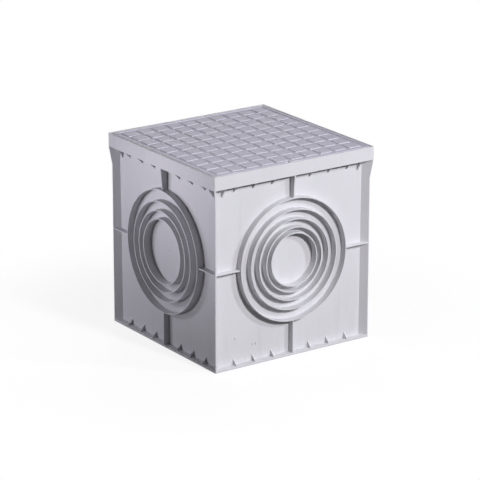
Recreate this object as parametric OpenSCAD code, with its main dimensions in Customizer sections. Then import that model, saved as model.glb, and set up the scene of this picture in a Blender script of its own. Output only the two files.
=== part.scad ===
// Square drain inspection chamber with a drop-in tread lid.
// Moulded box with recessed side panels, a diagonal fin at each corner, a ribbed
// band round the top, and a nest of knock-out pipe collars in the middle of each side.
//
// Frame: millimetres, +Z up. The origin is the centre of the face it stands on.
// Every side is drawn facing -Y, then turned round Z to its own place.

/* [Chamber] */
// Width and depth over the top band
chamber_w = 400; // [333:1:480]
// Height from the ground to the top of the rim and lid
chamber_h = 420; // [345:1:510]
// Thickness of the side walls
wall_t = 4; // [3:0.5:5]
// Thickness of the floor and of the foot flange round it
floor_t = 5; // [3:0.5:8]
// Depth of the side panels behind the corners, at half height
panel_depth = 12.5; // [8:0.5:16]
// Slope of the side panels from upright, wider at the top
wall_draft = 0.2; // [0:0.05:0.4]
// Radius of the round knock-out in the floor, scored from below
floor_knockout_r = 80; // [40:1:150]

/* [Top band] */
// Height of the band
band_h = 29; // [22:1:40]
// How far the band stands out past the corners
band_overhang = 5.5; // [3:0.5:8]
// Thickness of the band and of the rim round the lid
band_t = 5; // [3:0.5:6]
// Thickness of the ledge that carries the lid
ledge_t = 4; // [3:0.5:6]
// Radius of the band's upright corners
band_corner_r = 3; // [1:0.5:6]

/* [Corner fins] */
// Thickness of the fins
fin_t = 3; // [2:0.5:5]
// Height over which the fins widen to the band
flare_h = 40; // [20:1:60]

/* [Ribs and gussets] */
// Thickness of the ribs between the collars and the edges
rib_t = 3; // [2:0.5:5]
// Thickness of the gussets
gusset_t = 2.5; // [1.5:0.5:4]
// Distance between gussets
gusset_pitch = 47; // [30:1:60]
// Height of the gussets under the band
top_gusset_h = 15; // [8:1:24]
// Height of the gussets on the foot flange
foot_gusset_h = 13; // [8:1:24]
// Distance of the corner gussets in from the corners
corner_gusset_in = 24.5; // [20:0.5:34]
// Height of the corner gussets
corner_gusset_h = 22; // [12:1:32]

/* [Pipe collars] */
// Pipe sizes that the collars are made for, largest first
pipe_sizes = [250, 200, 160, 125, 100]; // [80:5:260]
// Room between a pipe size and the inside of its collar, on the radius
collar_room = 5.7; // [3:0.1:7]
// Thickness of the collars
collar_t = 2.6; // [1.5:0.1:4]
// How far the collars stand out past the corners
collar_proud = 3; // [0:0.5:5]
// Smallest pipe taken by the two sides that look along X
x_side_smallest_pipe = 125; // [100:25:200]
// Thickness of the knock-out disc inside the smallest collar
disc_t = 1.8; // [1:0.1:3]
// Depth and width of the score lines that the discs break along
score = 1.2; // [0.5:0.1:1.6]
// Distance of the score lines in from the inside of each collar
score_in = 1.5; // [1.1:0.1:3]

/* [Lid] */
// Gap between the lid and the rim, all round
lid_gap = 1.2; // [0.5:0.1:3]
// Thickness of the lid over its ledge
lid_h = 10; // [7:0.5:14]
// Width of the plain border round the tread
border_w = 7.5; // [5:0.5:12]
// Thickness of the lid's plate
plate_t = 4; // [3:0.5:5]
// Side of a tread pad
pad_w = 28.5; // [10:0.5:40]
// Gap between tread pads
pad_gap = 8.2; // [4:0.1:12]
// Least margin between the tread pads and the border
pad_margin = 5; // [3:0.5:10]
// Height of the tread pads, which end level with the border
pad_h = 2.5; // [1:0.5:3]
// Ribs under the lid in each direction
lid_ribs = 5; // [3:1:9]
// Depth of the ribs under the lid
lid_rib_h = 18; // [8:1:30]
// Clearance between the ribs under the lid and the walls
lid_rib_gap = 4; // [2:0.5:10]
// Width of the lifting notches
notch_w = 9; // [6:1:20]
// Depth of the lifting notches, in from the lid's edge
notch_d = 5; // [3:0.5:7]
// Places of the front and the back lifting notch along their edges
notch_x = [-15, 37]; // [-120:1:120]

/* [Hidden] */
$fn = 96;

shell_colour = [0.80, 0.80, 0.82];
lid_colour = [0.74, 0.74, 0.77];

// Cutters reach this far past the faces they open.
past = 1;
// Pieces that join are let into each other by this much.
bite = 1;
edge_chamfer = 0.8;
pad_chamfer = 0.5;

half_w = chamber_w / 2;
corner_half = half_w - band_overhang;
panel_mid = corner_half - panel_depth;

corner_gusset_x = corner_half - corner_gusset_in;
gussets_per_half = floor(corner_gusset_x / gusset_pitch - 0.5);

band_z = chamber_h - band_h;
ledge_z = chamber_h - lid_h;
flare_z = band_z - flare_h;
side_z = chamber_h / 2;
pocket_half = half_w - band_t;

collar_face = corner_half + collar_proud;
fin_nose = fin_t * sqrt(2) / 2;

lid_half = pocket_half - lid_gap;
border_inner = lid_half - border_w;
pad_pitch = pad_w + pad_gap;
pads = floor((2 * (border_inner - pad_margin) + pad_gap) / pad_pitch);
tread_z = chamber_h - pad_h;
plate_z = tread_z - plate_t;
lid_rib_half = cavity_half(plate_z - lid_rib_h) - lid_rib_gap;

// Half width of the walls at height z, outside and inside.
function panel_half(z) = panel_mid + tan(wall_draft) * (z - chamber_h / 2);
function cavity_half(z) = panel_half(z) - wall_t;

// Radii of the collar made for a pipe size.
function collar_inner(size) = size / 2 + collar_room;
function collar_outer(size) = collar_inner(size) + collar_t;

// Collars on one side: all of them, or those down to the smallest pipe it takes.
function sizes_from(smallest) = [for (size = pipe_sizes) if (size >= smallest) size];

// Square block whose four sides all follow one outline.
// Points run up the right-hand side as [half width, height].
module square_block(points) {
    mirrored = [for (i = [len(points) - 1 : -1 : 0]) [-points[i][0], points[i][1]]];
    reach = 2 * max([for (p = points) p[0]]) + 2 * past;
    intersection_for(turn = [0, 90])
        rotate([90, 0, turn])
            linear_extrude(reach, center = true)
                polygon(concat(points, mirrored));
}

module square_prism(half, z0, z1) {
    translate([-half, -half, z0]) cube([2 * half, 2 * half, z1 - z0]);
}

// Square plate with round upright corners.
module rounded_plate(half, r, z0, z1) {
    flat = half - r;
    translate([0, 0, z0]) linear_extrude(z1 - z0) {
        square([2 * half, 2 * flat], center = true);
        square([2 * flat, 2 * half], center = true);
        for (x = [-flat, flat], y = [-flat, flat]) translate([x, y]) circle(r);
    }
}

// Tube or disc whose axis points out of the -Y side at half height.
module side_disc(r, y_in, y_out) {
    translate([0, -y_in, side_z]) rotate([90, 0, 0]) cylinder(r = r, h = y_out - y_in);
}

// Places its children on all four sides.
module on_sides(turns = [0, 90, 180, 270]) {
    for (turn = turns) rotate([0, 0, turn]) children();
}

// Thin upright plate at x, drawn in the plane that looks along X.
// Its points are [distance out from the middle, height].
module side_plate(x, thickness, points) {
    translate([x + thickness / 2, 0, 0])
        rotate([90, 0, -90])
            linear_extrude(thickness)
                polygon(points);
}

// ---- chamber ----

// Outline of corners, flare and band together, as a solid block.
module envelope() {
    square_block([
        [corner_half, 0],
        [corner_half, flare_z],
        [half_w, band_z],
        [half_w, chamber_h - edge_chamfer],
        [half_w - edge_chamfer, chamber_h]
    ]);
}

module walls() {
    square_block([[panel_half(0), 0], [panel_half(ledge_z), ledge_z]]);
}

module cavity() {
    top = chamber_h + past;
    square_block([[cavity_half(floor_t), floor_t], [cavity_half(top), top]]);
}

// Fins, trimmed to the band's round corners and let into its skirt.
module corner_fins() {
    reach = half_w * sqrt(2);
    intersection() {
        envelope();
        union() {
            rounded_plate(half_w, band_corner_r, 0, band_z);
            square_prism(pocket_half + bite, band_z - bite, ledge_z - bite);
        }
        for (turn = [45, 135])
            rotate([0, 0, turn])
                translate([-reach, -fin_t / 2, 0])
                    cube([2 * reach, fin_t, ledge_z]);
    }
}

// Skirt, rim and the ledge inside it.
module band() {
    difference() {
        intersection() {
            envelope();
            rounded_plate(half_w, band_corner_r, band_z, chamber_h);
        }
        square_prism(pocket_half, band_z - past, ledge_z - ledge_t);
        square_prism(pocket_half, ledge_z, chamber_h + past);
    }
}

// Gusset that holds the band up from the wall.
module top_gusset(x, thickness, height) {
    wall = panel_half(band_z - height) - bite;
    side_plate(x, thickness, [
        [wall, ledge_z - bite],
        [half_w - bite, ledge_z - bite],
        [half_w - bite, band_z + bite],
        [corner_half, band_z],
        [panel_half(band_z - height), band_z - height],
        [wall, band_z - height]
    ]);
}

// Gusset that ties the foot flange to the wall.
module foot_gusset(x) {
    z_top = floor_t + foot_gusset_h;
    wall = panel_half(floor_t) - bite;
    side_plate(x, gusset_t, [
        [wall, floor_t - bite],
        [corner_half, floor_t - bite],
        [corner_half, floor_t],
        [panel_half(z_top), z_top],
        [wall, z_top]
    ]);
}

// Web from the band down to the largest collar, and rib from there to the foot.
module centre_ribs() {
    collar_r = collar_outer(pipe_sizes[0]) - bite;
    web_foot = side_z + collar_r;
    side_plate(0, rib_t, [
        [panel_mid - bite, web_foot],
        [corner_half, web_foot],
        [half_w - bite, band_z + bite],
        [half_w - bite, ledge_z - bite],
        [panel_mid - bite, ledge_z - bite]
    ]);
    side_plate(0, rib_t, [
        [panel_half(floor_t) - bite, floor_t - bite],
        [corner_half, floor_t - bite],
        [corner_half, side_z - collar_r],
        [panel_half(floor_t) - bite, side_z - collar_r]
    ]);
}

// Ribs at half height, from the collars out to both corners.
module level_ribs() {
    x_in = collar_outer(pipe_sizes[0]) - bite;
    for (flip = [0, 1])
        mirror([flip, 0, 0])
            translate([0, 0, side_z - rib_t / 2])
                linear_extrude(rib_t)
                    polygon([
                        [x_in, bite - panel_mid],
                        [x_in, -corner_half],
                        [corner_half - fin_nose / 2, -corner_half],
                        [panel_mid, bite - panel_mid]
                    ]);
}

module side_ribs() {
    centre_ribs();
    level_ribs();
    for (k = [1 : gussets_per_half], s = [-1, 1]) {
        top_gusset(s * k * gusset_pitch, gusset_t, top_gusset_h);
        foot_gusset(s * k * gusset_pitch);
    }
    for (s = [-1, 1]) top_gusset(s * corner_gusset_x, rib_t, corner_gusset_h);
}

// Nest of collars round one pipe axis.
module pipe_collars(sizes) {
    for (size = sizes)
        difference() {
            side_disc(collar_outer(size), panel_mid - bite, collar_face);
            side_disc(collar_inner(size), panel_mid - bite - past, collar_face + past);
        }
}

// Cuts that make the discs inside the collars break out cleanly.
module knockout_cuts(sizes) {
    smallest = sizes[len(sizes) - 1];
    side_disc(collar_inner(smallest), cavity_half(side_z) + disc_t, corner_half);
    for (size = sizes) {
        score_r = collar_inner(size) - score_in;
        difference() {
            side_disc(score_r, cavity_half(0) - past, cavity_half(side_z) + score);
            side_disc(score_r - score, 0, half_w);
        }
    }
}

// Round score line on the underside of the floor.
module floor_score() {
    difference() {
        translate([0, 0, -past]) cylinder(r = floor_knockout_r, h = past + score);
        translate([0, 0, -2 * past]) cylinder(r = floor_knockout_r - score, h = 3 * past + score);
    }
}

module chamber() {
    y_sizes = pipe_sizes;
    x_sizes = sizes_from(x_side_smallest_pipe);
    color(shell_colour)
        difference() {
            union() {
                walls();
                square_prism(corner_half, 0, floor_t);
                corner_fins();
                band();
                on_sides() side_ribs();
                on_sides([0, 180]) pipe_collars(y_sizes);
                on_sides([90, 270]) pipe_collars(x_sizes);
            }
            cavity();
            floor_score();
            on_sides([0, 180]) knockout_cuts(y_sizes);
            on_sides([90, 270]) knockout_cuts(x_sizes);
        }
}

// ---- lid ----

module tread_pads() {
    first = -(pads - 1) * pad_pitch / 2;
    for (i = [0 : pads - 1], j = [0 : pads - 1])
        translate([first + i * pad_pitch, first + j * pad_pitch, tread_z])
            square_block([
                [pad_w / 2, -bite],
                [pad_w / 2, pad_h - pad_chamfer],
                [pad_w / 2 - pad_chamfer, pad_h]
            ]);
}

module lid_plate() {
    difference() {
        intersection() {
            square_block([
                [lid_half, ledge_z],
                [lid_half, chamber_h - edge_chamfer],
                [lid_half - edge_chamfer, chamber_h]
            ]);
            rounded_plate(lid_half, band_corner_r, ledge_z, chamber_h);
        }
        square_prism(border_inner, tread_z, chamber_h + past);
        square_prism(lid_half - plate_t, ledge_z - past, plate_z);
    }
}

// Grid of ribs under the plate, inside a square frame that finds the opening.
module lid_underside() {
    z0 = plate_z - lid_rib_h;
    pitch = 2 * lid_rib_half / (lid_ribs + 1);
    difference() {
        square_prism(lid_rib_half, z0, plate_z + bite);
        square_prism(lid_rib_half - rib_t, z0 - past, plate_z + past + bite);
    }
    for (k = [1 : lid_ribs], turn = [0, 90])
        rotate([0, 0, turn])
            translate([-lid_rib_half + k * pitch - rib_t / 2, -lid_rib_half, z0])
                cube([rib_t, 2 * lid_rib_half, lid_rib_h + bite]);
}

module lifting_notches() {
    for (k = [0, 1])
        translate([notch_x[k] - notch_w / 2, (2 * k - 1) * lid_half - notch_d, ledge_z - past])
            cube([notch_w, 2 * notch_d, lid_h + 2 * past]);
}

module lid() {
    color(lid_colour)
        difference() {
            union() {
                lid_plate();
                tread_pads();
                lid_underside();
            }
            lifting_notches();
        }
}

chamber();
lid();
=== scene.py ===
# %% [markdown]
# # A moulded drain inspection chamber
# The object is a square polypropylene box that is buried where drain pipes meet.
# It has a drop-in lid with a tread, a band round the top, thin fins on its corners,
# and a nest of round collars on each side, one collar for each pipe size.
# The construction model comes first: it fixes where everything is and how big it is.

# %% Load the construction model
import math

import bmesh
import bpy
from mathutils import Matrix, Vector


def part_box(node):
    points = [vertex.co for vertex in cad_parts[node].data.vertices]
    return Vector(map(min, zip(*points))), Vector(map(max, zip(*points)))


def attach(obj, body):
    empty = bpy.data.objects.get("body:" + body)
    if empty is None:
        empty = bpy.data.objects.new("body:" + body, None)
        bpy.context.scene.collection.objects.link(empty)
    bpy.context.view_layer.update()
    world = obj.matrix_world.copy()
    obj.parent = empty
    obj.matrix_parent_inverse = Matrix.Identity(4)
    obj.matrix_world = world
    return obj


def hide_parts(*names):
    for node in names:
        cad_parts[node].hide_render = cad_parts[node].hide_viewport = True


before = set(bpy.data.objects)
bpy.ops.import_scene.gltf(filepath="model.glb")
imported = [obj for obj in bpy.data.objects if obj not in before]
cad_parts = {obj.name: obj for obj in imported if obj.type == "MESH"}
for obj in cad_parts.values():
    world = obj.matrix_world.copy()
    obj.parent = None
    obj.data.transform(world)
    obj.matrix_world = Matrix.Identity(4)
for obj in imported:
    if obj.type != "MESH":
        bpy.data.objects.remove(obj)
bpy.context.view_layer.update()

# %% [markdown]
# ## Sizes
# Blender works in metres. The overall sizes are read from the construction model,
# so they can't drift from it. The rest are wall thicknesses and clearances of the
# moulding, in millimetres, each written once and scaled by MM where it is used.
# Pieces are let into each other by BITE. Edges are rounded by EDGE where a piece
# doesn't give a value of its own.

# %% Sizes of the moulding
MM = 0.001
WALL = 4 * MM
FLOOR = 5 * MM
BAND_HEIGHT = 29 * MM
BAND_OVERHANG = 5.5 * MM
RIM = 5 * MM
LID_HEIGHT = 10 * MM
LEDGE = 4 * MM
PANEL_DEPTH = 12.5 * MM
PANEL_SLOPE = math.tan(math.radians(0.2))
RIB = 3 * MM
BITE = 1 * MM
EDGE = 0.5 * MM

chamber_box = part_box("chamber")
HALF = chamber_box[1].x
TOP = chamber_box[1].z
MIDDLE = TOP / 2
CORNER = HALF - BAND_OVERHANG
PANEL = CORNER - PANEL_DEPTH
BAND_FOOT = TOP - BAND_HEIGHT
LEDGE_TOP = TOP - LID_HEIGHT
POCKET = HALF - RIM
print(f"chamber {2 * HALF / MM:.0f} mm square, {TOP / MM:.0f} mm high")


def panel_at(z):
    """Half width of the side walls at height z.

    The walls lean out a little, so the moulding slips off its core.
    """
    return PANEL + PANEL_SLOPE * (z - MIDDLE)


# %% [markdown]
# ## Polypropylene
# The chamber and the lid are the same light grey plastic, so they share one effect.
# The lid's copy is a little cooler, and painted a little lighter: painted light that
# makes up for the weaker light on the top. A moulded surface isn't one flat colour: it
# has the fine spark-eroded grain of the mould, broad pale and dark patches where the
# melt flowed, and faint rubbed streaks. A node group builds these once, from Object
# coordinates, and each material places the group with values of its own. An image
# texture could do it too, but it would need unwrapping and would repeat.


# %% Helpers for nodes and their sockets
def add(tree, kind, inputs=None, **settings):
    """Adds a node with its settings, and feeds its inputs from values or sockets."""
    node = tree.nodes.new(kind)
    for name, value in settings.items():
        setattr(node, name, value)
    for key, value in (inputs or {}).items():
        if isinstance(value, bpy.types.NodeSocket):
            tree.links.new(value, node.inputs[key])
        else:
            node.inputs[key].default_value = value
    return node


def maths(tree, operation, a, b):
    """Adds one maths node and gives the socket with its result."""
    return add(tree, "ShaderNodeMath", {0: a, 1: b}, operation=operation).outputs[0]


def socket(tree, name, way, kind, value=None):
    """Makes a named input or output of a node group."""
    made = tree.interface.new_socket(name=name, in_out=way, socket_type=kind)
    if value is not None:
        made.default_value = value


# %% The node group for a moulded skin
PATCHES = 9.0
STREAKS = (60.0, 60.0, 6.0)
STREAK_FROM, STREAK_FULL = 0.56, 0.74
PATCH_TO_ROUGHNESS = 0.25


def build_moulded_skin():
    """Colour, roughness and height of a moulded plastic skin."""
    tree = bpy.data.node_groups.new("moulded skin", "ShaderNodeTree")
    socket(tree, "Colour", "INPUT", "NodeSocketColor", (0.6, 0.6, 0.6, 1))
    socket(tree, "Patch", "INPUT", "NodeSocketFloat", 0.05)
    socket(tree, "Streak", "INPUT", "NodeSocketFloat", 0.05)
    socket(tree, "Roughness", "INPUT", "NodeSocketFloat", 0.45)
    socket(tree, "Grain size", "INPUT", "NodeSocketFloat", 900.0)
    socket(tree, "Colour", "OUTPUT", "NodeSocketColor")
    socket(tree, "Roughness", "OUTPUT", "NodeSocketFloat")
    socket(tree, "Height", "OUTPUT", "NodeSocketFloat")
    given = add(tree, "NodeGroupInput").outputs
    place = add(tree, "ShaderNodeTexCoord").outputs["Object"]

    def noise(where, scale, detail):
        inputs = {"Vector": where, "Scale": scale, "Detail": detail}
        return add(tree, "ShaderNodeTexNoise", inputs).outputs["Fac"]

    broad = noise(place, PATCHES, 3.0)
    stretched = add(tree, "ShaderNodeMapping", {"Vector": place, "Scale": STREAKS}).outputs[0]
    rubbed = noise(stretched, 1.0, 5.0)
    few = add(
        tree, "ShaderNodeMapRange",
        {0: rubbed, 1: STREAK_FROM, 2: STREAK_FULL, 3: 0.0, 4: 1.0},
    ).outputs[0]
    grain = noise(place, given["Grain size"], 2.0)

    centred = maths(tree, "SUBTRACT", broad, 0.5)
    patch = maths(tree, "MULTIPLY", centred, given["Patch"])
    streak = maths(tree, "MULTIPLY", few, given["Streak"])
    value = maths(tree, "ADD", maths(tree, "SUBTRACT", patch, streak), 1.0)
    tinted = add(
        tree, "ShaderNodeHueSaturation", {"Color": given["Colour"], "Value": value}
    ).outputs[0]

    rough_change = maths(tree, "MULTIPLY", centred, PATCH_TO_ROUGHNESS)
    rough = maths(tree, "ADD", rough_change, given["Roughness"])
    worn = maths(tree, "SUBTRACT", rough, streak)
    add(tree, "NodeGroupOutput", {"Colour": tinted, "Roughness": worn, "Height": grain})
    return tree


moulded_skin = build_moulded_skin()
print("moulded skin:", len(moulded_skin.nodes), "nodes")


# %% The two plastics
def plastic(name, colour, patch, streak, roughness, grain_depth):
    """A satin polypropylene whose colour, roughness and grain come from the moulded skin."""
    material = bpy.data.materials.new(name)
    material.use_nodes = True
    tree = material.node_tree
    shader = tree.nodes["Principled BSDF"]
    shader.inputs["IOR"].default_value = 1.49
    shader.inputs["Specular IOR Level"].default_value = 0.45
    skin = add(tree, "ShaderNodeGroup", node_tree=moulded_skin)
    values = {"Colour": (*colour, 1), "Patch": patch, "Streak": streak, "Roughness": roughness}
    for key, value in values.items():
        skin.inputs[key].default_value = value
    grain = {"Strength": 0.25, "Distance": grain_depth, "Height": skin.outputs["Height"]}
    bump = add(tree, "ShaderNodeBump", grain)
    tree.links.new(skin.outputs["Colour"], shader.inputs["Base Color"])
    tree.links.new(skin.outputs["Roughness"], shader.inputs["Roughness"])
    tree.links.new(bump.outputs[0], shader.inputs["Normal"])
    return material


chamber_plastic = plastic(
    "chamber plastic", (0.66, 0.66, 0.674),
    patch=0.10, streak=0.06, roughness=0.46, grain_depth=0.3 * MM,
)
# The lid's colour is lighter than the chamber's: painted light for the top.
lid_plastic_painted_lighter = plastic(
    "lid plastic painted lighter", (0.69, 0.675, 0.76),
    patch=0.12, streak=0.08, roughness=0.50, grain_depth=0.4 * MM,
)
print("materials:", [m.name for m in bpy.data.materials])

# %% [markdown]
# ## From points to a finished piece
# Most of the chamber is plates and frames with square edges. Each is a small closed
# mesh whose edges a Bevel modifier then rounds by about half a millimetre, as the
# mould does. Sharp edges would look drawn: a real edge always catches some light.
# The pieces are let into each other by a millimetre, so together they read as one
# moulding. A single mesh from Boolean unions would be purer, but its edges are so
# broken up that no bevel runs cleanly round them.

# %% A helper that finishes a piece
SHARP = math.radians(35)


def piece(name, mesh, material, edge=EDGE):
    """Puts a finished mesh into the scene as one piece that rides on the only body."""
    mesh.materials.clear()
    mesh.materials.append(material)
    mesh.shade_smooth()
    mesh.set_sharp_from_angle(angle=SHARP)
    made = bpy.data.objects.new(name, mesh)
    bpy.context.scene.collection.objects.link(made)
    rounding = made.modifiers.new("moulded edges", "BEVEL")
    rounding.width = edge
    rounding.segments = 2
    rounding.limit_method = "ANGLE"
    rounding.angle_limit = SHARP
    rounding.harden_normals = True
    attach(made, "root")
    return made


# %% Helpers that skin rings of points
def mesh_of(name, solid):
    """Turns a bmesh into a mesh whose faces point outwards."""
    bmesh.ops.recalc_face_normals(solid, faces=solid.faces)
    mesh = bpy.data.meshes.new(name)
    solid.to_mesh(mesh)
    solid.free()
    return mesh


def loft(solid, rings, closed_loop=False):
    """Skins a stack of point rings, all of one length, and caps it or joins its ends."""
    rows = [[solid.verts.new(p) for p in ring] for ring in rings]
    count = len(rows[0])
    above = rows[1:] + rows[:1] if closed_loop else rows[1:]
    for lower, upper in zip(rows, above):
        for i in range(count):
            j = (i + 1) % count
            solid.faces.new((lower[i], lower[j], upper[j], upper[i]))
    if not closed_loop:
        solid.faces.new(rows[0][::-1])
        solid.faces.new(rows[-1])


def square(half, z):
    """A level square ring."""
    return [(half, half, z), (-half, half, z), (-half, -half, z), (half, -half, z)]


def rounded_square(half, radius, z, steps=6):
    """A level square ring with round corners."""
    ring = []
    inset = half - radius
    for corner, (x, y) in enumerate(((1, 1), (-1, 1), (-1, -1), (1, -1))):
        for k in range(steps + 1):
            angle = math.radians(90 * (corner + k / steps))
            across, along = radius * math.cos(angle), radius * math.sin(angle)
            ring.append((x * inset + across, y * inset + along, z))
    return ring


def block(solid, low, high):
    """A box between two corners."""
    x0, y0, z0 = low
    x1, y1, z1 = high
    loft(solid, [[(x1, y1, z), (x0, y1, z), (x0, y0, z), (x1, y0, z)] for z in (z0, z1)])


# %% A helper that cuts one mesh out of another
def cut(body, tools):
    """Takes the tool mesh away from the body mesh and gives the result as a new mesh."""
    first, second = (bpy.data.objects.new("cut", mesh) for mesh in (body, tools))
    for thing in (first, second):
        bpy.context.scene.collection.objects.link(thing)
    knife = first.modifiers.new("cut", "BOOLEAN")
    knife.operation, knife.solver, knife.object = "DIFFERENCE", "EXACT", second
    ready = first.evaluated_get(bpy.context.evaluated_depsgraph_get())
    result = bpy.data.meshes.new_from_object(ready)
    for thing in (first, second):
        bpy.data.objects.remove(thing)
    return result


# %% [markdown]
# ## Side walls
# The walls are a square tube that leans out by a fifth of a degree. In the middle of
# each side, inside the smallest collar, the wall is thinned to a disc that can be
# knocked out. Behind every collar a score line runs round the inside for the same
# reason. Boolean cutters are the simplest way to sink round things into a flat wall.

# %% Collar sizes
PIPE_SIZES = {
    "front and back": (250, 200, 160, 125, 100),
    "left and right": (250, 200, 160, 125),
}
COLLAR_ROOM = 5.7 * MM
COLLAR = 2.6 * MM
COLLAR_PROUD = 3 * MM
DISC = 1.8 * MM
SCORE = 1.2 * MM
SCORE_IN = 1.5 * MM


def collar_inner(size):
    """Inside radius of the collar for one pipe size."""
    return size / 2 * MM + COLLAR_ROOM


for sides, sizes in PIPE_SIZES.items():
    print(f"collars {sides}: {[round(collar_inner(size) / MM, 1) for size in sizes]} mm radius")


# %% A helper for round things that look out of a side
def drum(solid, radius, inner, near, far, turn, steps=128, middle=(0, MIDDLE)):
    """A drum, or a ring if inner is given, whose axis looks out of one side."""
    x, z = middle
    spin = Matrix.Rotation(math.radians(turn), 4, "Z")
    angles = [math.tau * k / steps for k in range(steps)]

    def circle(r, out):
        return [
            spin @ Vector((x + r * math.cos(angle), -out, z + r * math.sin(angle)))
            for angle in angles
        ]

    rings = [circle(radius, near), circle(radius, far)]
    if inner:
        rings += [circle(inner, far), circle(inner, near)]
    loft(solid, rings, closed_loop=bool(inner))


# %% The walls
walls = bmesh.new()
wall_top = LEDGE_TOP - LEDGE + BITE
at_foot, at_top = panel_at(BITE), panel_at(wall_top)
section = (
    (at_foot, BITE), (at_top, wall_top), (at_top - WALL, wall_top), (at_foot - WALL, BITE),
)
loft(walls, [square(half, z) for half, z in section], closed_loop=True)

cutters = bmesh.new()
cavity = PANEL - WALL
for sides, turns in (("front and back", (0, 180)), ("left and right", (90, 270))):
    smallest = min(PIPE_SIZES[sides])
    for turn in turns:
        drum(cutters, collar_inner(smallest), 0, cavity + DISC, CORNER, turn)
        for size in PIPE_SIZES[sides]:
            line = collar_inner(size) - SCORE_IN
            drum(cutters, line, line - SCORE, cavity - WALL, cavity + SCORE, turn)
wall_mesh = cut(mesh_of("walls", walls), mesh_of("cutters", cutters))
chamber_walls = piece("chamber_walls", wall_mesh, chamber_plastic, edge=0.35 * MM)
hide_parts("chamber")
print("walls:", len(wall_mesh.polygons), "faces")

# %% [markdown]
# ## Moulding marks
# Hot plastic enters the mould through a gate. Here it leaves a low button in the
# middle of each disc. A round mark and two short bars low on the front are plain
# marks of the tool. They stand about a millimetre proud, and the buttons half of
# that, just enough to catch some light.

# %% The marks
MARK = 1.1 * MM
GATE, GATE_RISE = 2.5 * MM, 0.5 * MM
ROUND_MARK, ROUND_MARK_X, ROUND_MARK_Z = 3 * MM, -136 * MM, 61 * MM
BAR_WIDE, BAR_HIGH, BAR_Z = 2 * MM, 6 * MM, 40 * MM
BARS_X = (-94 * MM, -86 * MM)
disc_face = cavity + DISC

marks = bmesh.new()
for turn in (0, 90, 180, 270):
    drum(marks, GATE, 0, disc_face - GATE_RISE, disc_face + GATE_RISE, turn, steps=24)
front = panel_at(ROUND_MARK_Z) + MARK
round_middle = (ROUND_MARK_X, ROUND_MARK_Z)
drum(marks, ROUND_MARK, 0, PANEL - BITE, front, 0, steps=24, middle=round_middle)
front = panel_at(BAR_Z) + MARK
for x in BARS_X:
    low = (x - BAR_WIDE / 2, -front, BAR_Z - BAR_HIGH / 2)
    high = (x + BAR_WIDE / 2, BITE - PANEL, BAR_Z + BAR_HIGH / 2)
    block(marks, low, high)
piece("moulding_marks", mesh_of("marks", marks), chamber_plastic, edge=0.15 * MM)
print("marks: 4 gates, 1 round mark,", len(BARS_X), "bars")

# %% [markdown]
# ## Floor and foot flange
# The floor runs out past the walls as a flange that spreads the load on the bed.
# It has a round score line underneath, where a bottom outlet can be broken through.
# A ring lofted from four circles cuts that line, as the ring cutters did in the walls.

# %% The foot
OUTLET = 80 * MM


def flat_circle(radius, z, steps=160):
    """A level ring of points."""
    angles = [math.tau * k / steps for k in range(steps)]
    return [(radius * math.cos(angle), radius * math.sin(angle), z) for angle in angles]


foot = bmesh.new()
loft(foot, [square(CORNER, 0), square(CORNER, FLOOR)])
groove = bmesh.new()
section = (
    (OUTLET, -BITE), (OUTLET, SCORE), (OUTLET - SCORE, SCORE), (OUTLET - SCORE, -BITE),
)
loft(groove, [flat_circle(radius, z) for radius, z in section], closed_loop=True)
piece("foot_flange", cut(mesh_of("foot", foot), mesh_of("groove", groove)), chamber_plastic)
print("foot flange:", round(2 * CORNER / MM), "mm square")

# %% [markdown]
# ## Band round the top
# The band is a skirt that hangs outside the walls, with a rim above it and a ledge
# inside that carries the lid. Seen from below it is an open channel. It starts as a
# solid plate with round corners, and three square blocks are cut out of it. That
# gives the section and keeps every corner exact.

# %% The band
CORNER_ROUND = 3 * MM
ledge_inner = panel_at(LEDGE_TOP) - WALL

band = bmesh.new()
loft(band, [rounded_square(HALF, CORNER_ROUND, z) for z in (BAND_FOOT, TOP)])
band_mesh = mesh_of("band", band)
for half, low, high in (
    (POCKET, BAND_FOOT - BITE, LEDGE_TOP - LEDGE),
    (ledge_inner, LEDGE_TOP - 2 * LEDGE, LEDGE_TOP + LEDGE),
    (POCKET, LEDGE_TOP, TOP + BITE),
):
    hollow = bmesh.new()
    loft(hollow, [square(half, low), square(half, high)])
    band_mesh = cut(band_mesh, mesh_of("hollow", hollow))
piece("top_band", band_mesh, chamber_plastic, edge=0.7 * MM)
print("band:", round(BAND_HEIGHT / MM), "mm high,", len(band_mesh.polygons), "faces")

# %% [markdown]
# ## Corner fins
# Each corner is one thin blade that points out along the diagonal, so a corner shows
# a narrow strip in shade beside each panel. Near the top it widens to meet the band.
# The blade is lofted through the outlines at the foot, where it starts to widen,
# under the band and up inside the band. Each outline has a height, how far it reaches
# along X and Y, and how much its tip is trimmed, which is most where it meets the
# band's round corner. Four blades are too few to need a tree.

# %% The fins
FIN = 3 * MM
FLARE = 40 * MM
FIN_INSET = 0.2 * MM
TIP_TRIM = 1.4 * MM
# Faces that would lie in one plane are set this far apart, so they don't fight.
SHY = 0.05 * MM
nose = FIN / math.sqrt(2)
fin_root = PANEL - 3 * MM
fin_outlines = (
    (FLOOR - BITE, CORNER - SHY, EDGE),
    (BAND_FOOT - FLARE, CORNER - SHY, EDGE),
    (BAND_FOOT + FIN_INSET, HALF - FIN_INSET, TIP_TRIM),
    (BAND_FOOT + BITE, HALF - 2 * BITE, EDGE),
    (LEDGE_TOP - BITE, HALF - 2 * BITE, EDGE),
)
fins = bmesh.new()
for turn in (0, 90, 180, 270):
    spin = Matrix.Rotation(math.radians(turn), 4, "Z")
    rings = []
    for z, reach, trim in fin_outlines:
        flat = [
            (fin_root - nose, fin_root), (fin_root, fin_root - nose), (reach, reach - nose),
            (reach, reach - trim), (reach - trim, reach), (reach - nose, reach),
        ]
        rings.append([spin @ Vector((x, y, z)) for x, y in flat])
    loft(fins, rings)
piece("corner_fins", mesh_of("fins", fins), chamber_plastic)
print("fins: 4, flaring over", round(FLARE / MM), "mm")

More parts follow.
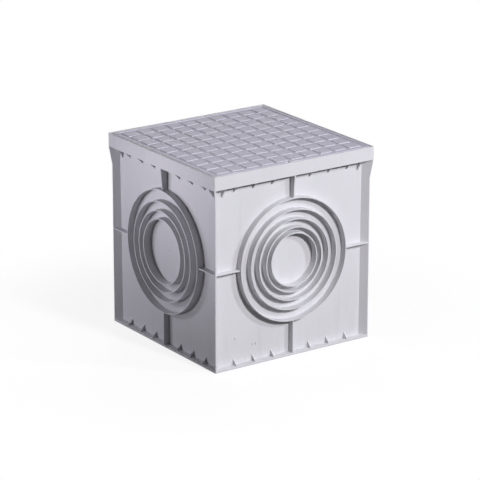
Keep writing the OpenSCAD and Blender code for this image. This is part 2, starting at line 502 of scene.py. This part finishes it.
# %% [markdown]
# ## Things that repeat: Geometry Nodes
# Gussets, ribs, collars and tread pads repeat by a rule, so Geometry Nodes place them.
# A tree makes one of them and puts it on points. Its sizes are named inputs, so the
# same tree serves at the band and at the foot. Copying meshes in a Python loop would
# look the same, but the tree can be opened and its numbers changed by hand.
# Each tree ends by realising its instances, because a file format for other
# programs doesn't keep instances, and by setting the material.

# %% Helpers that begin a tree
QUARTER = math.radians(90)


def new_tree(name, inputs):
    """A Geometry Nodes tree with a mesh in, a mesh out and named inputs."""
    tree = bpy.data.node_groups.new(name, "GeometryNodeTree")
    socket(tree, "Geometry", "INPUT", "NodeSocketGeometry")
    for key, value in {**inputs, "Sides": 4, "Turn": QUARTER, "First turn": 0.0}.items():
        kind = "NodeSocketInt" if isinstance(value, int) else "NodeSocketFloat"
        socket(tree, key, "INPUT", kind, value)
    socket(tree, "Material", "INPUT", "NodeSocketMaterial")
    socket(tree, "Geometry", "OUTPUT", "NodeSocketGeometry")
    return tree, add(tree, "NodeGroupInput").outputs


def vector(tree, x=0.0, y=0.0, z=0.0):
    """Joins three numbers or sockets into one vector."""
    return add(tree, "ShaderNodeCombineXYZ", {0: x, 1: y, 2: z}).outputs[0]


def moved(tree, shape, by=None, turned=None):
    """Turns a shape about the origin, then moves it."""
    inputs = {"Geometry": shape}
    if by is not None:
        inputs["Translation"] = by
    if turned is not None:
        inputs["Rotation"] = turned
    return add(tree, "GeometryNodeTransform", inputs).outputs[0]


# %% Helpers that end a tree
def on_sides(tree, shape, given):
    """Puts one side's shape on the others too, by equal turns round the chamber."""
    spots = add(tree, "GeometryNodePoints", {"Count": given["Sides"]}).outputs[0]
    index = add(tree, "GeometryNodeInputIndex").outputs[0]
    turn = maths(tree, "ADD", maths(tree, "MULTIPLY", index, given["Turn"]), given["First turn"])
    turned = {"Points": spots, "Instance": shape, "Rotation": vector(tree, z=turn)}
    return add(tree, "GeometryNodeInstanceOnPoints", turned).outputs[0]


def end_tree(tree, shape, given):
    """Every tree ends with real mesh that carries its material."""
    real = add(tree, "GeometryNodeRealizeInstances", {"Geometry": shape}).outputs[0]
    coloured = add(
        tree, "GeometryNodeSetMaterial", {"Geometry": real, "Material": given["Material"]}
    ).outputs[0]
    add(tree, "NodeGroupOutput", {"Geometry": coloured})
    return tree


# %% Helpers that run a tree
def outline(name, points, face=True):
    """A start mesh: one flat face, or loose points where a tree only needs places."""
    mesh = bpy.data.meshes.new(name)
    mesh.from_pydata(points, [], [range(len(points))] if face else [])
    return mesh


def grow(name, tree, material, start, edge=EDGE, **values):
    """Runs a tree once on a start mesh, and keeps the result as a plain piece."""
    seed = bpy.data.objects.new(name, start)
    bpy.context.scene.collection.objects.link(seed)
    run = seed.modifiers.new("grow", "NODES")
    run.node_group = tree
    inputs = [item for item in tree.interface.items_tree if item.in_out == "INPUT"]
    ids = {item.name: item.identifier for item in inputs}
    run[ids["Material"]] = material
    for key, value in values.items():
        run[ids[key.replace("_", " ")]] = value
    ready = seed.evaluated_get(bpy.context.evaluated_depsgraph_get())
    grown = bpy.data.meshes.new_from_object(ready)
    bpy.data.objects.remove(seed)
    solid = bmesh.new()
    solid.from_mesh(grown)
    made = piece(name, mesh_of(name, solid), material, edge)
    print(f"{name}: {len(made.data.polygons)} faces, {[round(v, 3) for v in made.dimensions]} m")


# %% [markdown]
# ## Pipe collars
# A collar is a short tube round the pipe's axis. Four or five of them stand one inside
# the next, one for each pipe size. The installer cuts out the disc inside the collar
# that fits. The start mesh is a row of points whose distance along X is the radius
# of each collar. The tree puts a circle on each point, scaled to that radius, and
# sweeps a small rectangle round it. Scaling a finished collar would also thicken
# its wall, which is why only the circle is scaled.


# %% The tree for a nest of collars
def collar_tree():
    """Round collars of one wall thickness, one for each point of the start mesh."""
    tree, given = new_tree(
        "collar nest",
        {"Thickness": 0.0026, "Near": 0.18, "Far": 0.19, "Height": 0.2, "Steps": 160},
    )
    place = add(tree, "GeometryNodeInputPosition").outputs[0]
    inner = add(tree, "ShaderNodeSeparateXYZ", {0: place}).outputs["X"]
    middle = maths(tree, "ADD", inner, maths(tree, "DIVIDE", given["Thickness"], 2.0))
    kept = add(
        tree, "GeometryNodeStoreNamedAttribute",
        {"Geometry": given["Geometry"], "Name": "radius", "Value": middle},
        data_type="FLOAT", domain="POINT",
    )
    radius = add(
        tree, "GeometryNodeInputNamedAttribute", {"Name": "radius"}, data_type="FLOAT"
    ).outputs[0]
    gathered = add(
        tree, "GeometryNodeSetPosition", {"Geometry": kept.outputs[0], "Position": vector(tree)}
    ).outputs[0]
    circle = add(
        tree, "GeometryNodeCurvePrimitiveCircle", {"Resolution": given["Steps"], "Radius": 1.0}
    ).outputs[0]
    size = vector(tree, radius, radius, 1.0)
    circles = add(
        tree, "GeometryNodeInstanceOnPoints",
        {"Points": gathered, "Instance": circle, "Scale": size},
    ).outputs[0]
    real = add(tree, "GeometryNodeRealizeInstances", {"Geometry": circles}).outputs[0]
    depth = maths(tree, "SUBTRACT", given["Far"], given["Near"])
    section = add(
        tree, "GeometryNodeCurvePrimitiveQuadrilateral",
        {"Width": given["Thickness"], "Height": depth},
    ).outputs[0]
    tubes = add(
        tree, "GeometryNodeCurveToMesh", {"Curve": real, "Profile Curve": section}
    ).outputs[0]
    out = maths(tree, "DIVIDE", maths(tree, "ADD", given["Far"], given["Near"]), -2.0)
    stood = moved(tree, tubes, by=vector(tree, y=out, z=given["Height"]), turned=(QUARTER, 0, 0))
    return end_tree(tree, on_sides(tree, stood, given), given)


# %% The collars
collars = collar_tree()
for sides, first_turn in (("front and back", 0.0), ("left and right", QUARTER)):
    points = [(collar_inner(size), 0, 0) for size in PIPE_SIZES[sides]]
    radii = outline("radii", points, face=False)
    grow(
        "collars_" + sides.replace(" ", "_"), collars, chamber_plastic, radii, edge=0.4 * MM,
        Thickness=COLLAR, Near=PANEL - BITE, Far=CORNER + COLLAR_PROUD, Height=MIDDLE,
        Sides=2, Turn=2 * QUARTER, First_turn=first_turn,
    )

# %% [markdown]
# ## Ribs and gussets
# Small gussets tie the band and the foot flange to the walls, and taller webs run
# from the largest collar to the band and to the foot. All of them are flat plates, of
# two thicknesses, so one tree makes them all. The start mesh is the outline of a plate
# seen from the side. The tree thickens it, repeats it both ways from the middle and
# turns the row to the four sides. The middle place can be left out, because that is
# where the tall web stands.


# %% The tree for rows of plates
def plate_tree():
    """Upright plates, thickened from the start mesh and repeated in a row on each side."""
    tree, given = new_tree(
        "plate rows", {"Thickness": 0.003, "Each way": 3, "Pitch": 0.047, "Keep middle": 0}
    )
    across = vector(tree, given["Thickness"])
    thick = add(
        tree, "GeometryNodeExtrudeMesh",
        {"Mesh": given["Geometry"], "Offset": across, "Offset Scale": 1.0},
        mode="FACES",
    )
    back = add(tree, "GeometryNodeFlipFaces", {"Mesh": given["Geometry"]})
    both = add(tree, "GeometryNodeJoinGeometry")
    tree.links.new(thick.outputs["Mesh"], both.inputs[0])
    tree.links.new(back.outputs[0], both.inputs[0])
    closed = add(
        tree, "GeometryNodeMergeByDistance", {"Geometry": both.outputs[0], "Distance": 0.00001}
    ).outputs[0]
    plate = moved(tree, closed, by=vector(tree, maths(tree, "DIVIDE", given["Thickness"], -2.0)))

    ways = given["Each way"]
    first = maths(tree, "MULTIPLY", maths(tree, "MULTIPLY", ways, given["Pitch"]), -1.0)
    count = maths(tree, "ADD", maths(tree, "MULTIPLY", ways, 2.0), 1.0)
    start, step = vector(tree, first), vector(tree, given["Pitch"])
    line = add(
        tree, "GeometryNodeMeshLine", {"Count": count, "Start Location": start, "Offset": step}
    ).outputs[0]
    index = add(tree, "GeometryNodeInputIndex").outputs[0]
    aside = add(
        tree, "FunctionNodeCompare", {2: index, 3: ways}, data_type="INT", operation="NOT_EQUAL"
    ).outputs[0]
    chosen = add(
        tree, "FunctionNodeBooleanMath", {0: aside, 1: given["Keep middle"]}, operation="OR"
    ).outputs[0]
    row = add(
        tree, "GeometryNodeInstanceOnPoints",
        {"Points": line, "Selection": chosen, "Instance": plate},
    ).outputs[0]
    return end_tree(tree, on_sides(tree, row, given), given)


# %% The gussets under the band
GUSSET = 2.5 * MM
GUSSET_PITCH = 47 * MM
TOP_GUSSET = 15 * MM
GUSSET_TIP = 2.5 * MM
CORNER_GUSSET = 22 * MM
CORNER_GUSSET_X = CORNER - 24.5 * MM


def side_view(name, points):
    """The outline of an upright plate, given as distance out from the middle and height."""
    return outline(name, [(0, -out, z) for out, z in points])


def under_band(height):
    """A gusset that holds the band up from the wall, with its web inside the band."""
    foot_z = BAND_FOOT - height
    wall = panel_at(foot_z)
    return side_view("under band", [
        (wall - BITE, LEDGE_TOP - BITE), (HALF - BITE, LEDGE_TOP - BITE),
        (HALF - BITE, BAND_FOOT + BITE), (CORNER, BAND_FOOT - GUSSET_TIP),
        (wall, foot_z), (wall - BITE, foot_z),
    ])


plates = plate_tree()
grow(
    "gussets_under_band", plates, chamber_plastic, under_band(TOP_GUSSET), edge=0.3 * MM,
    Thickness=GUSSET, Each_way=3, Pitch=GUSSET_PITCH,
)
grow(
    "corner_gussets", plates, chamber_plastic, under_band(CORNER_GUSSET), edge=0.3 * MM,
    Thickness=RIB, Each_way=1, Pitch=CORNER_GUSSET_X,
)

# %% The gussets on the foot
FOOT_GUSSET = 13 * MM
WEB_FACE = CORNER - 2 * SHY
wall_foot = panel_at(FLOOR)
gusset_top = FLOOR + FOOT_GUSSET
foot_gusset = side_view("foot gusset", [
    (wall_foot - BITE, FLOOR - BITE), (WEB_FACE, FLOOR - BITE), (WEB_FACE, FLOOR),
    (panel_at(gusset_top), gusset_top), (wall_foot - BITE, gusset_top),
])
grow(
    "gussets_on_foot", plates, chamber_plastic, foot_gusset, edge=0.3 * MM,
    Thickness=GUSSET, Each_way=3, Pitch=GUSSET_PITCH,
)

# %% The upright webs
collar_outer = collar_inner(max(PIPE_SIZES["front and back"])) + COLLAR
web_foot, rib_top = MIDDLE + collar_outer - BITE, MIDDLE - collar_outer + BITE
upper_web = side_view("upper web", [
    (PANEL - BITE, web_foot), (WEB_FACE, web_foot), (HALF - BITE, BAND_FOOT + BITE),
    (HALF - BITE, LEDGE_TOP - BITE), (PANEL - BITE, LEDGE_TOP - BITE),
])
lower_rib = side_view("lower rib", [
    (wall_foot - BITE, FLOOR - BITE), (WEB_FACE, FLOOR - BITE),
    (WEB_FACE, rib_top), (wall_foot - BITE, rib_top),
])
for name, shape in (("upper_webs", upper_web), ("lower_ribs", lower_rib)):
    grow(name, plates, chamber_plastic, shape, Thickness=RIB, Each_way=0, Keep_middle=1)

# %% [markdown]
# ## Level ribs
# Halfway up, a rib runs level from the largest collar to the fin on each side of it.
# It lies flat, so the tree for upright plates doesn't suit it. Its outer end is cut
# at 45 degrees, to bury itself in the slanting fin.

# %% The level ribs
level = bmesh.new()
for turn in (0, 90, 180, 270):
    spin = Matrix.Rotation(math.radians(turn), 4, "Z")
    for way in (-1, 1):
        flat = [
            (collar_outer - BITE, BITE - PANEL), (collar_outer - BITE, -WEB_FACE),
            (WEB_FACE - nose / 2, -WEB_FACE), (PANEL, BITE - PANEL),
        ]
        heights = (MIDDLE - RIB / 2, MIDDLE + RIB / 2)
        loft(level, [[spin @ Vector((way * x, y, z)) for x, y in flat] for z in heights])
piece("level_ribs", mesh_of("level", level), chamber_plastic)
print("level ribs:", round((CORNER - collar_outer) / MM), "mm long")

# %% [markdown]
# ## The lid
# The lid drops inside the rim and rests on the ledge, with a gap all round. Its top
# is a plain border round a sunk field. The plate starts as a slab with round corners.
# The field and the hollow underneath are cut out of it, and so are the two notches
# where a bar lifts it.

# %% Sizes of the lid
LID_GAP = 1.2 * MM
BORDER = 7.5 * MM
PAD_HEIGHT = 2.5 * MM
LID_PLATE = 4 * MM
NOTCH_WIDE, NOTCH_DEEP = 9 * MM, 5 * MM
FRONT_NOTCH_X, BACK_NOTCH_X = -15 * MM, 37 * MM
lid_half = POCKET - LID_GAP
lip = lid_half - LID_PLATE
field_half = lid_half - BORDER
tread = TOP - PAD_HEIGHT
underside = tread - LID_PLATE
print("lid:", round(2 * lid_half / MM, 1), "mm square")


# %% The lid's plate
def notch(x, side):
    """The two corners of the block that cuts a notch into the front or back edge."""
    edge_y = side * (lid_half + 0.5 * BITE)
    reach = NOTCH_DEEP + 0.5 * BITE
    low = (x - NOTCH_WIDE / 2, edge_y - reach, LEDGE_TOP - BITE)
    high = (x + NOTCH_WIDE / 2, edge_y + reach, TOP + BITE)
    return low, high


slab = bmesh.new()
loft(slab, [rounded_square(lid_half, CORNER_ROUND, z) for z in (LEDGE_TOP, TOP)])
lid_mesh = mesh_of("slab", slab)
for low, high in (
    ((-field_half, -field_half, tread), (field_half, field_half, TOP + BITE)),
    ((-lip, -lip, LEDGE_TOP - BITE), (lip, lip, underside)),
    notch(FRONT_NOTCH_X, -1),
    notch(BACK_NOTCH_X, 1),
):
    cutter = bmesh.new()
    block(cutter, low, high)
    lid_mesh = cut(lid_mesh, mesh_of("cutter", cutter))
lid_plate = piece("lid_plate", lid_mesh, lid_plastic_painted_lighter, edge=0.6 * MM)
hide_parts("lid")
print("lid plate:", len(lid_mesh.polygons), "faces")

# %% [markdown]
# ## Tread pads
# A hundred square pads give boots some grip. They are alike and stand in a grid, so
# a tree puts one on each point of a Grid. A bump map would be lighter, but the pads
# must show at the lid's edge and catch the light on their own edges. They stand on
# a slightly raised field, one flat slab that fills most of the depth between them.


# %% The tree for the tread
def tread_tree():
    """A square grid of square pads on a thin slab."""
    tree, given = new_tree(
        "tread",
        {
            "Pads": 10, "Pitch": 0.0367, "Pad": 0.0285, "Rise": 0.0025,
            "Field": 0.001, "Field wide": 0.37, "Height": 0.4,
        },
    )
    pad_tall = maths(tree, "ADD", given["Rise"], BITE)
    pad_size = vector(tree, given["Pad"], given["Pad"], pad_tall)
    pad = add(tree, "GeometryNodeMeshCube", {"Size": pad_size}).outputs[0]
    span = maths(tree, "MULTIPLY", maths(tree, "SUBTRACT", given["Pads"], 1.0), given["Pitch"])
    grid = add(
        tree, "GeometryNodeMeshGrid",
        {"Size X": span, "Size Y": span, "Vertices X": given["Pads"], "Vertices Y": given["Pads"]},
    ).outputs[0]
    pads = add(tree, "GeometryNodeInstanceOnPoints", {"Points": grid, "Instance": pad}).outputs[0]
    pads_middle = maths(tree, "DIVIDE", maths(tree, "SUBTRACT", given["Rise"], BITE), 2.0)
    pads = moved(tree, pads, by=vector(tree, z=pads_middle))

    field_tall = maths(tree, "MULTIPLY", given["Field"], 2.0)
    field_size = vector(tree, given["Field wide"], given["Field wide"], field_tall)
    field = add(tree, "GeometryNodeMeshCube", {"Size": field_size}).outputs[0]
    both = add(tree, "GeometryNodeJoinGeometry")
    for part in (field, pads):
        tree.links.new(part, both.inputs[0])
    raised = moved(tree, both.outputs[0], by=vector(tree, z=given["Height"]))
    return end_tree(tree, raised, given)


# %% The pads
PAD = 28.5 * MM
PAD_GAP = 8.2 * MM
FIELD_FILL = 0.64
nothing = outline("nothing", [], face=False)
grow(
    "tread_pads", tread_tree(), lid_plastic_painted_lighter, nothing, edge=0.8 * MM,
    Pads=10, Pitch=PAD + PAD_GAP, Pad=PAD, Rise=PAD_HEIGHT,
    Field=FIELD_FILL * PAD_HEIGHT, Field_wide=2 * (field_half + BITE), Height=tread,
)

# %% [markdown]
# ## Ribs under the lid
# A grid of deep ribs keeps the lid flat underfoot, inside a square frame that finds
# the opening. The frame is one loft, and the grid is the same tree of plates that
# made the gussets, run once for each direction.

# %% The frame under the lid
LID_RIB_DEPTH = 18 * MM
FRAME_GAP = 4 * MM
rib_foot = underside - LID_RIB_DEPTH
rib_head = underside + BITE
frame_half = panel_at(rib_foot) - WALL - FRAME_GAP
section = (
    (frame_half, rib_foot), (frame_half, rib_head),
    (frame_half - RIB, rib_head), (frame_half - RIB, rib_foot),
)
rib_frame = bmesh.new()
loft(rib_frame, [square(half, z) for half, z in section], closed_loop=True)
piece("lid_rib_frame", mesh_of("rib frame", rib_frame), lid_plastic_painted_lighter)
print("frame under the lid:", round(2 * frame_half / MM), "mm square")

# %% The ribs under the lid
reach = frame_half - RIB / 2
for name, first_turn, foot_z in (
    ("lid_ribs_along", 0.0, rib_foot + SHY),
    ("lid_ribs_across", QUARTER, rib_foot + 2 * SHY),
):
    bar = side_view("bar", [
        (-reach, foot_z), (reach, foot_z), (reach, rib_head), (-reach, rib_head),
    ])
    grow(
        name, plates, lid_plastic_painted_lighter, bar, Thickness=RIB, Each_way=2, Pitch=frame_half / 3,
        Keep_middle=1, Sides=1, First_turn=first_turn,
    )

# %% [markdown]
# ## Camera
# A long lens from far away keeps the upright edges nearly parallel. It looks at one
# corner from a little above, so two sides and the lid all show.


# %% Helpers for where things stand
def around(azimuth, height, distance, aim):
    """A point at this turn round the object, at this angle above the aim, in degrees."""
    turn, rise = math.radians(azimuth), math.radians(height)
    return Vector(aim) + distance * Vector(
        (math.sin(turn) * math.cos(rise), -math.cos(turn) * math.cos(rise), math.sin(rise))
    )


def place(name, data, azimuth, height, distance, aim):
    """Puts a camera or a lamp round the object, looking at the aim."""
    thing = bpy.data.objects.new(name, data)
    bpy.context.scene.collection.objects.link(thing)
    thing.location = around(azimuth, height, distance, aim)
    looking = Vector(aim) - thing.location
    thing.rotation_euler = looking.to_track_quat("-Z", "Y").to_euler()
    return thing


# %% The camera
scene = bpy.context.scene
lens = bpy.data.cameras.new("camera")
lens.lens = 205.5
lens.sensor_width = 36
scene.camera = place(
    "camera", lens, azimuth=-34.55, height=18.2, distance=5.79, aim=(0, 0, 0.199)
)
print("camera:", lens.lens, "mm lens")

# %% [markdown]
# ## Light
# The key is a small square lamp that faces the right-hand side from above, so the
# band throws a crisp line of shadow. A second one, farther round, models the collars,
# and its shadows fall to the left. The left-hand side gets weaker light, from behind
# and from its own height, so its collars stay dark inside. Two lamps do that, with a
# spot whose soft edge lets the light fade towards the foot. The lamp called back
# lights the back, and its sheen on the lid shows the pads.

# %% Lamps
OBJECT_MIDDLE = (0, 0, 0.2)
LEFT_SIDE = (-0.2, 0, 0.3)
LEFT_TINT = (0.92, 0.895, 1)


def lamp(name, azimuth, height, distance, size, power, aim=OBJECT_MIDDLE, tint=(1, 1, 1)):
    """A soft square lamp that the camera doesn't see."""
    light = bpy.data.lights.new(name, "AREA")
    light.shape, light.size, light.energy, light.color = "SQUARE", size, power, tint
    place(name, light, azimuth, height, distance, aim).visible_camera = False


lamp("key", 6, 30, distance=4.0, size=0.35, power=124, tint=(0.98, 0.96, 1))
lamp("second", 39, 31, distance=4.0, size=0.35, power=56, tint=(0.89, 0.91, 1))
lamp("left", -110, -6, distance=2.5, size=0.5, power=19.5, aim=LEFT_SIDE, tint=LEFT_TINT)
lamp("left_near", -135, 0, distance=0.57, size=0.15, power=1.0, aim=LEFT_SIDE, tint=LEFT_TINT)
lamp("back", 150, 2, distance=3.0, size=1.0, power=28)

# %% The spot
spot = bpy.data.lights.new("left_spot", "SPOT")
spot.energy = 58
spot.color = LEFT_TINT
spot.spot_size = math.radians(18)
spot.spot_blend = 1.0
spot.shadow_soft_size = 0.12
place("left_spot", spot, azimuth=-111, height=-2, distance=2.0, aim=(-0.2, -0.08, 0.41))
print("lamps:", len(bpy.data.lights))

# %% [markdown]
# ## World
# The world adds a weak, even light and shows pure white behind the object. The
# Is Camera Ray switch keeps these two apart, so the white never lights the object.

# %% The world
WHITE = (1, 1, 1, 1)
EVEN_LIGHT = 0.035
world = bpy.data.worlds.new("studio")
world.use_nodes = True
scene.world = world
studio = world.node_tree
studio.nodes.clear()
even = add(studio, "ShaderNodeBackground", {"Color": WHITE, "Strength": EVEN_LIGHT}).outputs[0]
white = add(studio, "ShaderNodeBackground", {"Color": WHITE, "Strength": 1.0}).outputs[0]
seen = add(studio, "ShaderNodeLightPath").outputs["Is Camera Ray"]
shown = add(studio, "ShaderNodeMixShader", {0: seen, 1: even, 2: white}).outputs[0]
add(studio, "ShaderNodeOutputWorld", {0: shown})
print("world: even light", EVEN_LIGHT)

# %% [markdown]
# ## Floor
# The floor is plain and keeps the object's shadow. Its paint is dark, but to the
# camera it glows, so it looks pale, and away from the object it fades into the white
# of the background. Other rays meet only the paint, so the glow lights nothing.

# %% The floor's paint
PAINT = (0.15, 0.15, 0.15, 1)
GLOW = 0.85
FADE_FROM, FADE_TO = 0.3, 0.75
floor_paint = bpy.data.materials.new("floor paint")
floor_paint.use_nodes = True
tree = floor_paint.node_tree
paint = tree.nodes["Principled BSDF"]
paint.inputs["Base Color"].default_value = PAINT
paint.inputs["Roughness"].default_value = 0.9
place_on_floor = add(tree, "ShaderNodeTexCoord").outputs["Object"]
far = add(tree, "ShaderNodeVectorMath", {0: place_on_floor}, operation="LENGTH").outputs["Value"]
fade = add(
    tree, "ShaderNodeMapRange", {0: far, 1: FADE_FROM, 2: FADE_TO, 3: 0.0, 4: 1.0},
    interpolation_type="SMOOTHSTEP",
).outputs[0]
looked_at = add(tree, "ShaderNodeLightPath").outputs["Is Camera Ray"]
glow = add(tree, "ShaderNodeEmission", {"Color": WHITE, "Strength": GLOW}).outputs[0]
lifted = add(tree, "ShaderNodeAddShader", {0: paint.outputs[0], 1: glow}).outputs[0]
plain_white = add(tree, "ShaderNodeEmission", {"Color": WHITE, "Strength": 1.0}).outputs[0]
faded = add(tree, "ShaderNodeMixShader", {0: fade, 1: lifted, 2: plain_white}).outputs[0]
shown = add(tree, "ShaderNodeMixShader", {0: looked_at, 1: paint.outputs[0], 2: faded}).outputs[0]
tree.links.new(shown, tree.nodes["Material Output"].inputs[0])

# %% The floor
FLOOR_HALF, FLOOR_THICK = 6, 2 * MM
ground = bmesh.new()
loft(ground, [square(FLOOR_HALF, -FLOOR_THICK), square(FLOOR_HALF, 0)])
floor_mesh = mesh_of("floor", ground)
floor_mesh.materials.append(floor_paint)
floor = bpy.data.objects.new("floor", floor_mesh)
scene.collection.objects.link(floor)
print("floor:", [round(v, 3) for v in floor.dimensions], "m")
scene.view_settings.view_transform = "Standard"

# %% [markdown]
